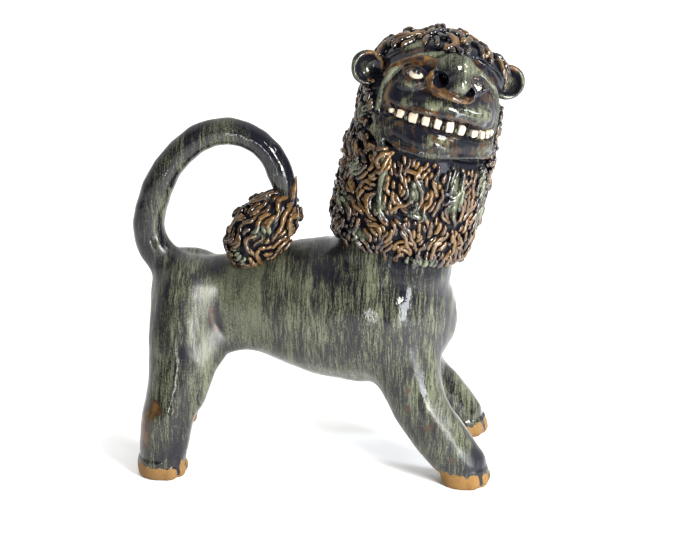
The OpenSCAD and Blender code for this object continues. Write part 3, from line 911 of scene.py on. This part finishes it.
def tube(points, normals, radius, sides=8):
    """One strand: a rolled thread with rounded ends; crest is 1 along its outer side."""
    along = unit(np.gradient(points, axis=0))
    n = unit(normals - along * (along * normals).sum(1, keepdims=True))
    side = np.cross(along, n)
    count = len(points)
    s = np.concatenate(([0], np.cumsum(np.linalg.norm(np.diff(points, axis=0), axis=1))))
    swell = 1 + 0.10 * np.sin(s * 0.9 + radius * 40) + 0.05 * np.sin(s * 2.3 + radius * 90)
    taper = np.clip(np.minimum(s, s[-1] - s) / radius, 0, 1)
    r = radius * swell * np.sqrt(1 - (1 - taper) ** 2 * 0.92)
    turn = 2 * math.pi * np.arange(sides) / sides
    ring = np.cos(turn)[None, :, None] * n[:, None] + np.sin(turn)[None, :, None] * side[:, None]
    verts = (points[:, None] + r[:, None, None] * ring).reshape(-1, 3)
    crest = np.repeat(np.cos(turn)[None], count, 0).reshape(-1)
    tips = np.array((points[0] - along[0] * radius * 0.3, points[-1] + along[-1] * radius * 0.3))
    verts = np.vstack((verts, tips))
    crest = np.append(crest, (0.5, 0.5))
    faces = []
    for i in range(count - 1):
        for j in range(sides):
            a, b = i * sides + j, i * sides + (j + 1) % sides
            faces.append((a, b, b + sides, a + sides))
    first, last = count * sides, count * sides + 1
    for j in range(sides):
        a, b = j, (j + 1) % sides
        faces.append((b, a, first))
        faces.append((a + (count - 1) * sides, b + (count - 1) * sides, last))
    return verts, faces, crest


def strand_piece(name, lines, nodes, matrix, shade):
    verts, faces, crest, own = [], [], [], []
    total = 0
    for k, (points, normals, radius) in enumerate(lines):
        v, f, c = tube(points, normals, radius)
        verts.append(v)
        faces += [tuple(i + total for i in face) for face in f]
        crest.append(c)
        own.append(np.full(len(v), k))
        total += len(v)
    if not verts:
        return
    verts, crest, own = np.vstack(verts), np.concatenate(crest), np.concatenate(own)
    make_piece(name, verts, faces, nodes, attributes=shade(verts, crest, own), matrix=matrix)


def shade_strands(pools, amber=0.12, green=0.0):
    def shade(verts, crest, own):
        rng = np.random.default_rng(len(own))
        each = rng.normal(0, 0.10, own.max() + 1)[own]
        angle, z = np.degrees(np.arctan2(verts[:, 0], -verts[:, 1])), verts[:, 2]
        pool = np.minimum(sum(spot(angle, z, *p) for p in pools), 1) if pools else 0
        patch = waves(verts, 22, 51)
        wear = amber + 0.24 * step(crest, -0.3, 0.3) + 0.32 * step(crest, 0.2, 0.95)
        wear += 0.12 * patch + each - 0.6 * pool
        tone = green - 0.38 + 0.16 * step(crest, 0.2, 1) + 0.5 * pool + 0.1 * patch
        return {"tone": tone, "wear": wear, "gloss": 0.8, "calm": 0.5}
    return shade


def down_the_mane(p, normal):
    """Strands hang, and wander more at the sides and the back than under the chin."""
    angle = math.degrees(math.atan2(p[0], -p[1]))
    amount = 0.40 + 0.75 * float(step(abs(angle - 8), 25, 60))
    turn = amount * float(waves(p, 38, 61, 5)[0])
    side = np.cross(normal, (0, 0, -1.0))
    return math.cos(turn) * np.array((0, 0, -1.0)) + math.sin(turn) * side


def in_mane(p):
    angle = abs(math.degrees(math.atan2(p[0], -p[1])))
    if not mane_hem(p[0]) - 0.6 < p[2] < 5:
        return False
    if angle < 60:
        return p[2] < -41 + 4 * (angle / 60) ** 2
    return p[2] < (4 if angle > 72 else -34 + (angle - 60) * 3)


# Two bends laid along listed points under the chin, beside the curl: angle and height along each.
LONG_BEND = ((-26, -70), (-23, -75), (-17, -79.5), (-10, -82), (-3, -82.5))
SHORT_BEND = ((-27, -52), (-22, -51), (-16, -51.5), (-10, -54))
# Passes of strands: layer, height, tries, gap, shortest, longest, wiggle, share that curls.
MANE_PASSES = (
    (0, 1.1, 2600, 3.0, 20, 40, 0.24, 0.08),
    (0, 0.8, 6000, 2.8, 8, 16, 0.2, 0.1),
    (0, 0.7, 7000, 2.4, 5, 9, 0.1, 0),
    (1, 2.9, 1400, 3.6, 12, 30, 0.38, 0.25),
    (2, 4.2, 220, 6.0, 9, 18, 0.3, 0.45),
)


def build_mane():
    hair = Strands(head_volume, 7)
    rng = hair.rng
    curl_at = np.array(on_face(-9, -112, 55))
    spiral = []
    for k in range(46):
        t = k / 45 * 3.5 * math.pi
        r = 9.4 - 0.64 * t
        spiral.append(curl_at + (r * math.cos(t) * 1.15, 0, r * math.sin(t)))
    lay_by_hand(hair, spiral, 1.9, 1.35)
    lay_by_hand(hair, all_on_face(LONG_BEND, 55), 2.0, 2.4)
    lay_by_hand(hair, all_on_face(SHORT_BEND, 55), 2.6, 1.8)
    for angle in range(0, 360, 4):
        start = np.array(on_face(angle, 0, 51))
        start[2] = mane_hem(start[0]) + rng.uniform(8, 24)
        if not hair.near(start, 0, 3):
            hair.grow(start, down_the_mane, 34, rng.uniform(1.7, 2.2), 1.1, 0, 3.0, in_mane, 0.22)
    for _ in range(260):
        start = np.array(on_face(rng.uniform(60, 300), rng.uniform(-48, 2), 53))
        if in_mane(start) and not hair.near(start, 0, 5):
            size = rng.uniform(14, 32), rng.uniform(2.2, 2.8)
            hair.grow(start, down_the_mane, *size, 1.6, 0, 4.6, in_mane, 0.6, 0.5)
    for layer, h, tries, gap, low, high, wiggle, curly in MANE_PASSES:
        hair.shortest = 4 if gap < 2.5 else 5
        for _ in range(tries):
            a, z = rng.uniform(-180, 180), rng.uniform(-120, 4)
            start = np.array(on_face(a, z, 53))
            if not in_mane(start) or hair.near(start, layer, gap):
                continue
            curl = rng.choice((-1, 1)) * rng.uniform(0.5, 1.0) if rng.random() < curly else 0
            radius = rng.uniform(1.7, 2.2) if layer == 0 else rng.uniform(1.4, 1.8)
            size = rng.uniform(low, high), radius
            hair.grow(start, down_the_mane, *size, h, layer, gap, in_mane, wiggle, curl)
    groups = {}
    for line in hair.lines:
        centre = line[0].mean(0)
        tier = "low" if centre[2] < -74 else "mid" if centre[2] < -36 else "top"
        angle = (math.degrees(math.atan2(centre[1], centre[0])) + 45) % 360 - 45
        side = "left" if angle < 45 else "back" if angle < 135 else "right" if angle < 225 else "front"
        if tier == "top" and side == "front":
            side = "right" if centre[0] < 0 else "left"
        groups.setdefault(f"mane_{tier}_{side}", []).append(line)
    for name, lines in sorted(groups.items()):
        strand_piece(name + "_strands", lines, [name], HEAD, shade_strands(POOLS))


def lay_by_hand(hair, points, h, radius):
    """A strand along given points, settled on the surface and smoothed."""
    points = [np.array(p, float) for p in points]
    dense = []
    for a, b in zip(points, points[1:]):
        for t in np.linspace(0, 1, max(2, int(np.linalg.norm(b - a) / 1.2)), endpoint=False):
            dense.append(a + (b - a) * t)
    line, normals = zip(*(hair.settle(p, h) for p in dense + [points[-1]]))
    own = len(hair.lines)
    for q in line:
        hair.taken.setdefault((0, *(q // 4).astype(int)), []).append((q, own))
    hair.lines.append((np.array(line), np.array(normals), radius))


# Which way coils lean off the downhill line, round the head: azimuths and amounts.
LEANS = (
    (-180, -140, -112, -98, -86, -60, -45, -20, 60, 180), (0.2, 0.1, 0.9, 0.6, -0.7, -0.5, 0.1, 0, 0, 0.2),
)


def along_the_hair(p, normal):
    """Coils run down from the crown; the front peak's lean left, those left of it run right."""
    azimuth = math.degrees(math.atan2(p[1], p[0]))
    down = unit(np.array((p[0], p[1], 0.0)) + (0, 0, 1e-6)) * 0.8 - (0, 0, 0.9)
    turn = float(np.interp(azimuth, *LEANS)) + 0.28 * float(waves(p, 30, 71, 5)[0])
    d = unit(down - normal * (down @ normal))
    return math.cos(turn) * d + math.sin(turn) * np.cross(normal, d)


def in_hair(p):
    low = np.interp(math.degrees(math.atan2(p[1], p[0])), *zip(*HAIRLINE))
    return p[2] > low + 1


def build_hair():
    hair = Strands(head_volume, 17)
    hair.shortest = 9
    rng = hair.rng
    passes = ((0, 1.5, 500, 4.3, 26, 48, 40), (0, 1.2, 1500, 3.9, 14, 30, 0), (1, 3.4, 110, 6.5, 18, 32, 30))
    for layer, h, tries, gap, low, high, lowest in passes:
        for _ in range(tries):
            a = rng.uniform(-math.pi, math.pi)
            e = math.asin(rng.uniform(math.sin(math.radians(lowest)), 1))
            start = 54 * np.array((math.cos(a) * math.cos(e), math.sin(a) * math.cos(e), math.sin(e)))
            smooth_lump = -165 < math.degrees(a) < -115 and math.degrees(e) < 60
            if smooth_lump and rng.random() < 0.6:
                continue
            if not in_hair(start) or hair.near(start, layer, gap):
                continue
            curl = rng.choice((-1, 1)) * 0.8 if rng.random() < 0.10 else 0
            size = rng.uniform(low, high), rng.uniform(2.1, 2.6)
            hair.grow(start, along_the_hair, *size, h, layer, gap, in_hair, 0.16, curl)
    locks = (-168, -122, -82, -48, -12, 32, 90, 148, 192)
    groups = {}
    for line in hair.lines:
        centre = line[0].mean(0)
        angle = (math.degrees(math.atan2(centre[1], centre[0])) + 168) % 360 - 168
        lock = next(i for i in range(8) if angle < locks[i + 1] or i == 7) + 1
        groups.setdefault(f"hair_lock_{lock}", []).append(line)
    for name, lines in sorted(groups.items()):
        strand_piece(name + "_strands", lines, [name], HEAD, shade_strands((), 0.06, 0.14))


build_mane()
build_hair()


# ------------------------------------------------------------------ tail tuft

TUFT_TOP, TUFT_END = np.array((-34.0, -4, 202)), np.array((-64.0, -11, 164))


def build_tuft():
    """Strands gathered along the tuft's own axis, from the tail's joint to the rump."""
    axis = TUFT_END - TUFT_TOP
    length = float(np.linalg.norm(axis))
    way = axis / length
    middle = (TUFT_TOP + TUFT_END) / 2
    v = Volume(middle - 48, middle + 48, 1.0)
    t = ((v.x - TUFT_TOP[0]) * way[0] + (v.y - TUFT_TOP[1]) * way[1] + (v.z - TUFT_TOP[2]) * way[2]) / length
    around = np.sqrt(np.maximum(
        (v.x - TUFT_TOP[0]) ** 2 + (v.y - TUFT_TOP[1]) ** 2 + (v.z - TUFT_TOP[2]) ** 2 - (t * length) ** 2, 0))
    turn = np.radians(20 + 135 * np.clip(t, -0.15, 1.12))
    profile = 11.2 + 8.4 * np.sin(turn) - 110 * np.maximum(t - 1.0, 0) ** 1.3
    profile -= 110 * np.maximum(-t - 0.04, 0) ** 1.3
    v.add((around - profile) * 0.9, 1, "tuft_bed")
    v.wobble(14, 0.9, 81)
    v.blur(2)
    v.add(roll(v, [(-27, -6, 204), (-25, -6, 214), (-23.2, -5, 225)], [4.5, 3.0, 0.8]), 2, "tuft_bed")
    split_pieces(v, {"tuft_bed": (["tail_tuft_core"], "dark_glaze")}, shade_tuft_bed)

    hair = Strands(v, 27)
    rng = hair.rng

    def along(p, normal):
        t = float((p - TUFT_TOP) @ way) / length
        turn = (0.25 + 0.5 * float(step(t, 0.55, 1))) * float(waves(p, 22, 82, 5)[0])
        d = unit(way - normal * (way @ normal))
        return math.cos(turn) * d + math.sin(turn) * np.cross(normal, d)

    def allowed(p):
        return -0.35 < float((p - TUFT_TOP) @ way) / length < 1.3

    u = unit(np.cross(way, (0, 1.0, 0)))
    w = np.cross(way, u)
    passes = (
        (0, 0.9, 500, 3.3, 24, 50), (0, 0.7, 900, 3.0, 6, 16), (1, 2.5, 260, 4.0, 12, 34),
        (2, 3.8, 30, 7, 10, 20),
    )
    for layer, h, tries, gap, low, high in passes:
        for _ in range(tries):
            t, a = rng.uniform(-0.25, 1.05), rng.uniform(0, 2 * math.pi)
            out = 19 * math.sin(math.pi * (t + 0.3) / 1.5)
            start = TUFT_TOP + axis * t + out * (math.cos(a) * u + math.sin(a) * w)
            for _ in range(3):
                start, _n = hair.settle(start, h)
            if not allowed(start) or hair.near(start, layer, gap):
                continue
            curl = rng.choice((-1, 1)) * 0.8 if rng.random() < 0.12 else 0
            size = rng.uniform(low, high), rng.uniform(1.6, 2.0)
            hair.grow(start, along, *size, h, layer, gap, allowed, 0.12, curl)
    strand_piece("tail_tuft", hair.lines, ["tail_tuft_strands"], None, shade_tuft)


def shade_tuft_bed(name, verts, normals):
    tone = -0.40 + 0.35 * step(waves(verts, 20, 83), 0.7, 1.5)
    spike = step(verts[:, 2], 202, 212)
    return {"tone": tone + 0.15 * spike, "wear": 0.75 * spike - 0.1, "gloss": 1.2 * spike - 0.9}


def shade_tuft(verts, crest, own):
    rng = np.random.default_rng(5)
    each = rng.normal(0, 0.10, own.max() + 1)[own]
    pool = step(waves(verts, 26, 83), 0.9, 1.7)
    wear = 0.12 + 0.24 * step(crest, -0.3, 0.3) + 0.32 * step(crest, 0.2, 0.95) + each - 0.5 * pool
    return {"tone": -0.34 + 0.5 * pool, "wear": wear + 0.08, "gloss": 0.8}


build_tuft()


# ------------------------------------------------------------------ eyes, ears and teeth


def build_ears():
    for name, centre, tilt in (("right_ear", (-56, -3, 11), 15), ("left_ear", (52, -3, 22.5), -15)):
        v = Volume(np.array(centre) - 20, np.array(centre) + 20, 0.6)
        a = math.radians(tilt)
        face = np.array((math.sin(a) * 0.6, -math.cos(a), 0.10))
        c = np.array(centre, float)
        deep = (v.x - c[0]) * face[0] + (v.y - c[1]) * face[1] + (v.z - c[2]) * face[2]
        flat = np.sqrt(np.maximum((v.x - c[0]) ** 2 + (v.y - c[1]) ** 2 + (v.z - c[2]) ** 2 - deep**2, 0))
        rim = np.sqrt((flat - 10.3) ** 2 + (deep - 1.5) ** 2) - 2.7
        v.add(egg(v, c - face * 1.0, (12.0, 8.0, 12.0)), 1, name)
        v.add(rim, 3, name)
        v.cut(ball(v, c + face * 9.5, 11.5), 2.2)
        v.wobble(9, 0.45, 91 + int(tilt))
        v.blur(1)

        def shade(_, verts, normals):
            inward = np.linalg.norm(verts - c, axis=1)
            facing = (verts - c) @ face
            bowl = step(9.8 - inward, -2, 2) * step(facing, -2, 2)
            inner = 1 if c[0] < 0 else -1
            toward = step((verts[:, 0] - c[0]) * inner + (verts[:, 2] - c[2]) * 0.6, -3, 6)
            tone = 0.02 - 0.5 * bowl + 0.08 * waves(verts, 12, 92)
            wear = 0.15 + 0.5 * toward * step(facing, 0, 4) * (1 - bowl) + 0.15 * waves(verts, 9, 93)
            return {"tone": tone - 0.1, "wear": wear, "calm": 0.85}

        split_pieces(v, {name: ([name], "green_glaze")}, shade, HEAD)


def white_material():
    """White slip under clear glaze, turned brown and green where glaze ran over it on the teeth; on the eyes
    the same darkening is painted shade towards the corners and lids.
    """
    s = Shader("slip_white")
    # This attribute darkens the slip: real brown discolouring on the teeth' edges, painted shade on the eyes.
    stain_and_shade = s.attribute("stain_and_shade")
    mottle = s.noise((700, 700, 500), detail=3)
    level = s.math("MULTIPLY_ADD", s.math("SUBTRACT", mottle, 0.5), 0.7, stain_and_shade)
    cream, stain_and_shade_tint, brown = rgb(0.40, 0.34, 0.265), rgb(0.33, 0.25, 0.17), rgb(0.13, 0.075, 0.035)
    colour = s.ramp(level, (0.10, cream), (0.42, stain_and_shade_tint), (0.60, brown), (0.85, SOOT))
    bump = s.node("ShaderNodeBump", {"Height": mottle, "Strength": 0.25, "Distance": 0.0005})
    s.put(s.principled.inputs["Base Color"], colour)
    s.put(s.principled.inputs["Normal"], bump.outputs[0])
    s.principled.inputs["Roughness"].default_value = 0.16
    return s.material


def black_material():
    s = Shader("slip_black")
    speckle = s.noise((900, 900, 900))
    colour = s.mix(speckle, rgb(0.006, 0.006, 0.008), rgb(0.020, 0.015, 0.012))
    s.put(s.principled.inputs["Base Color"], colour)
    s.principled.inputs["Roughness"].default_value = 0.07
    return s.material


WHITE, BLACK = white_material(), black_material()


def pillow(name, centre, half, power, material, frame_axes, shade, nodes, wobble=0.0, seed=0):
    """A rounded chip of clay: a superellipsoid on the given axes, slightly uneven."""
    rows, cols = ((22, 36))
    e = np.linspace(-math.pi / 2, math.pi / 2, rows + 1)[1:-1]
    a = 2 * math.pi * np.arange(cols) / cols
    e, a = np.meshgrid(e, a, indexing="ij")

    def bow(t):
        return np.sign(t) * np.abs(t) ** (2 / power)

    local = np.stack((bow(np.cos(e)) * bow(np.cos(a)), bow(np.cos(e)) * bow(np.sin(a)), bow(np.sin(e))), -1)
    local = np.vstack((local.reshape(-1, 3), ((0, 0, -1), (0, 0, 1))))
    local = local * half
    local *= 1 + wobble * waves(local, 4.0, seed)[:, None]
    verts = local @ np.array(frame_axes) + centre
    faces = []
    for i in range(rows - 2):
        for j in range(cols):
            k, m = i * cols + j, i * cols + (j + 1) % cols
            faces.append((k, m, m + cols, k + cols))
    bottom, top = (rows - 1) * cols, (rows - 1) * cols + 1
    for j in range(cols):
        k, m = j, (j + 1) % cols
        faces.append((m, k, bottom))
        faces.append((k + (rows - 2) * cols, m + (rows - 2) * cols, top))
    make_piece(name, verts, faces, nodes, material, attributes=shade(local), matrix=HEAD)


def facing(angle):
    """Axes of something that sits on the face: across, out of it, up."""
    a = math.radians(angle)
    return ((math.cos(a), math.sin(a), 0), (math.sin(a), -math.cos(a), 0), (0, 0, 1))


# The teeth: degrees round the head, width, height.
TEETH = (
    (-49, 3.6, 3.8), (-40, 5.2, 6.0), (-28.5, 6.6, 7.6), (-17.5, 5.8, 7.2), (-7.5, 5.4, 7.6),
    (3, 6.0, 8.2), (14.5, 5.6, 7.8), (28, 6.4, 5.6), (38, 5.0, 6.2), (46, 3.8, 6.2), (53, 3.6, 5.2),
)


def shade_eye(local):
    """White in the middle, with painted shade towards the corners and under the lids."""
    # Painted shade: the eye white is darker at its corners and along the lids, where the socket and lids shade
    # it.
    corners = 0.7 * step(np.abs(local[:, 0]), 5.0, 7.5)
    return {"stain_and_shade": corners + 0.6 * step(np.abs(local[:, 2] + 0.6), 2.6, 4.6)}


def build_eyes_and_teeth():
    for k, (angle, wide, tall) in enumerate(TEETH):
        z = float(np.interp(angle, *zip(*MOUTH)))

        def shade(local, k=k, tall=tall):
            edge = np.maximum(np.abs(local[:, 0]) / wide, np.abs(local[:, 2]) / tall)
            return {"stain_and_shade": 0.02 + 0.9 * step(edge, 0.36, 0.62) * 0.6 + 0.12 * waves(local, 5, 100 + k)}

        lean = math.radians(7 * math.sin(2.7 * k + 1))
        across, out, up = (np.array(axis) for axis in facing(angle + 5 * math.sin(1.9 * k)))
        tipped = across * math.cos(lean) + up * math.sin(lean)
        axes = (tipped, out, up * math.cos(lean) - across * math.sin(lean))
        pillow(
            f"tooth_{k + 1}_chip", np.array(on_face(angle, z, 50.0)), (wide / 2, 2.3, tall / 2),
            3.8 + 0.6 * (k % 3), WHITE, axes, shade, [f"tooth_{k + 1}"], 0.07, 200 + k,
        )
    for k, ((a, *_), (b, *_)) in enumerate(zip(TEETH, TEETH[1:])):
        angle = (a + b) / 2
        z = float(np.interp(angle, *zip(*MOUTH))) - 1.5
        pillow(
            f"gap_bead_{k + 1}", np.array(on_face(angle, z, 50.4)), (1.4, 1.9, 2.3), 2.0,
            GLAZE, facing(angle), lambda local: {"tone": -0.06, "calm": 0.8}, [], 0.1, 240 + k,
        )
    for name, (angle, z) in EYES.items():
        wide = 7.6 if name == "right" else 5.6
        pillow(
            f"{name}_eye_white", np.array(on_face(angle, z, 47.0)), (wide, 5.6, 5.0), 2.0,
            WHITE, facing(angle), shade_eye, [f"{name}_eyeball"], 0.03, 210,
        )
        for k, (across, up, size) in enumerate(((-0.6, 2.1, 2.0), (2.2, 1.4, 1.7))):
            pillow(
                f"{name}_eye_dot_{k + 1}",
                np.array(on_face(angle + across * 1.1, z + up, 52.0 - 0.25 * abs(across))),
                (size, 1.3, size * 0.85), 2.0, BLACK, facing(angle),
                lambda local: {"stain_and_shade": 0.0}, [f"{name}_pupil"], 0.1, 220 + k,
            )


build_ears()
build_eyes_and_teeth()


# ------------------------------------------------------------------ camera, light and floor


def build_stage():
    scene = bpy.context.scene
    aim = Vector((9.2, 0, 149.5)) * MM
    azimuth, elevation, distance = math.radians(5), math.radians(20), 1.9
    back = Vector((
        math.sin(azimuth) * math.cos(elevation),
        -math.cos(azimuth) * math.cos(elevation),
        math.sin(elevation),
    ))
    camera = bpy.data.objects.new("camera", bpy.data.cameras.new("camera"))
    camera.data.sensor_width = 36
    camera.data.lens = 132.4
    camera.location = aim + back * distance
    camera.rotation_euler = (-back).to_track_quat("-Z", "Y").to_euler()
    scene.collection.objects.link(camera)
    scene.camera = camera

    reach = 14.0
    mesh = bpy.data.meshes.new("floor")
    corners = [(-reach, -reach, 0), (reach, -reach, 0), (reach, reach, 0), (-reach, reach, 0)]
    mesh.from_pydata(corners, [], [(0, 1, 2, 3)])
    paper = Shader("floor_paper")
    fibre = paper.noise((60, 60, 60), detail=4)
    white = paper.mix(fibre, rgb(0.93, 0.93, 0.925), rgb(0.95, 0.95, 0.945))
    paper.put(paper.principled.inputs["Base Color"], white)
    paper.principled.inputs["Roughness"].default_value = 0.9
    mesh.materials.append(paper.material)
    floor = bpy.data.objects.new("floor", mesh)
    scene.collection.objects.link(floor)

    def lamp(name, azimuth, elevation, distance, width, height, power, tint=(1, 1, 1), at=(0, 0, 0.15)):
        data = bpy.data.lights.new(name, "AREA")
        data.shape, data.size, data.size_y = "RECTANGLE", width, height
        data.energy, data.color = power, tint
        a, e = math.radians(azimuth), math.radians(elevation)
        way = Vector((math.sin(a) * math.cos(e), -math.cos(a) * math.cos(e), math.sin(e)))
        light = bpy.data.objects.new(name, data)
        light.location = Vector(at) + way * distance
        light.rotation_euler = (-way).to_track_quat("-Z", "Y").to_euler()
        light.visible_camera = False
        scene.collection.objects.link(light)

    lamp("key_softbox", 40, 0, 0.85, 0.20, 0.46, 18, (1.0, 0.97, 0.92), at=(0, 0, 0.57))
    lamp("low_reflector", 45, 0, 0.8, 0.20, 0.24, 3.4, (0.92, 0.96, 1.0), at=(0, 0, 0.15))
    lamp("edge_strip", 1, 0, 0.95, 0.03, 0.34, 1.1, at=(-0.1, 0, 0.18))
    lamp("window", 78, 34, 1.1, 0.20, 0.28, 8, (0.88, 0.93, 1.0))

    sky = bpy.data.lights.new("overhead_diffuser", "SUN")
    sky.energy, sky.angle = 2.6, math.radians(100)
    overhead = bpy.data.objects.new("overhead_diffuser", sky)
    overhead.rotation_euler = (math.radians(-12), math.radians(8), 0)
    overhead.visible_glossy = False
    scene.collection.objects.link(overhead)

    world = bpy.data.worlds.new("studio")
    world.use_nodes = True
    nodes, links = world.node_tree.nodes, world.node_tree.links
    way = nodes.new("ShaderNodeSeparateXYZ")
    links.new(nodes.new("ShaderNodeTexCoord").outputs["Generated"], way.inputs[0])
    fall = nodes.new("ShaderNodeMapRange")
    fall.interpolation_type = "SMOOTHSTEP"
    fall.inputs["From Min"].default_value, fall.inputs["From Max"].default_value = -0.45, 0.35
    fall.inputs["To Min"].default_value, fall.inputs["To Max"].default_value = 0.05, 1.0
    links.new(way.outputs["Y"], fall.inputs["Value"])
    links.new(fall.outputs[0], nodes["Background"].inputs["Strength"])
    nodes["Background"].inputs["Color"].default_value = (1, 1, 1, 1)
    scene.world = world
    scene.view_settings.view_transform = "Standard"


build_stage()
